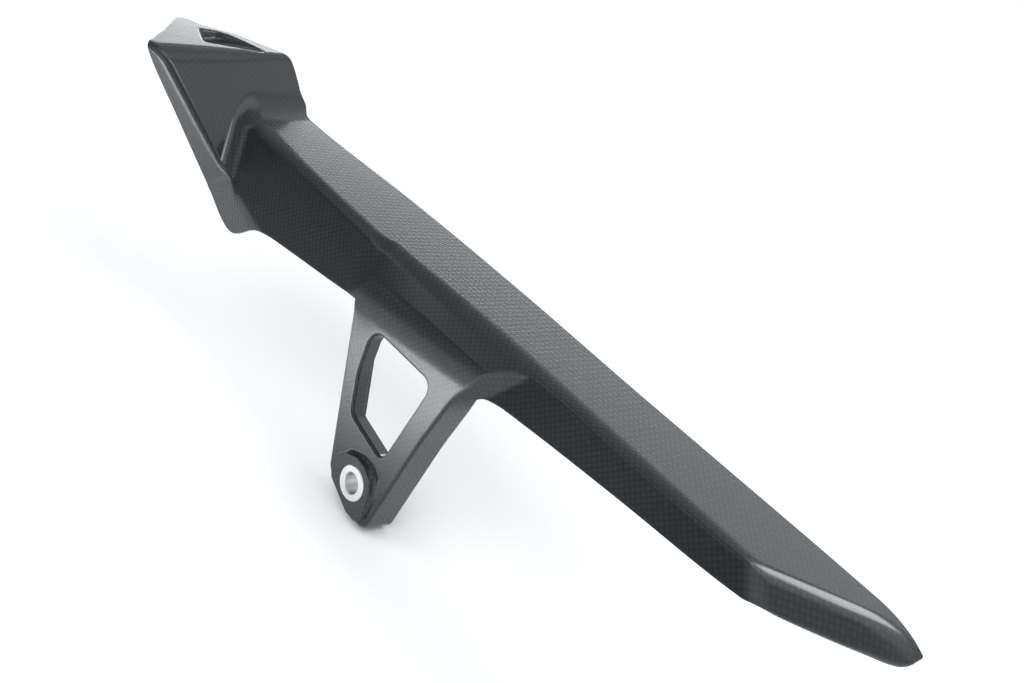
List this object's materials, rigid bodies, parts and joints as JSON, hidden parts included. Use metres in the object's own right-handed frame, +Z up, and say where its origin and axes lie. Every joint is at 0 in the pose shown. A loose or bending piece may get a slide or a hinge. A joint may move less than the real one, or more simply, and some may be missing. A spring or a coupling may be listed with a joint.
{
  "type": "motorcycle chain guard",
  "caption": "Chain guard: long flat-topped shell with leaning side wall, windowed mounting bracket with bush, raised front deck and pointed tail.",
  "frame": {"origin": "centre of the mounting bush at its outer face", "axes": "+X to the guard's rear tip, +Y inward to the wheel along the bush axis, +Z up, square to the flat top face"},
  "size_m": [0.4124, 0.0985, 0.1164],
  "materials": {
    "carbon": "woven carbon laminate under satin clear coat",
    "aluminium": "turned, clear anodised"
  },
  "bodies": {
    "root": {"guard_shell": "carbon", "bush": "aluminium"}
  },
  "joints": []
}
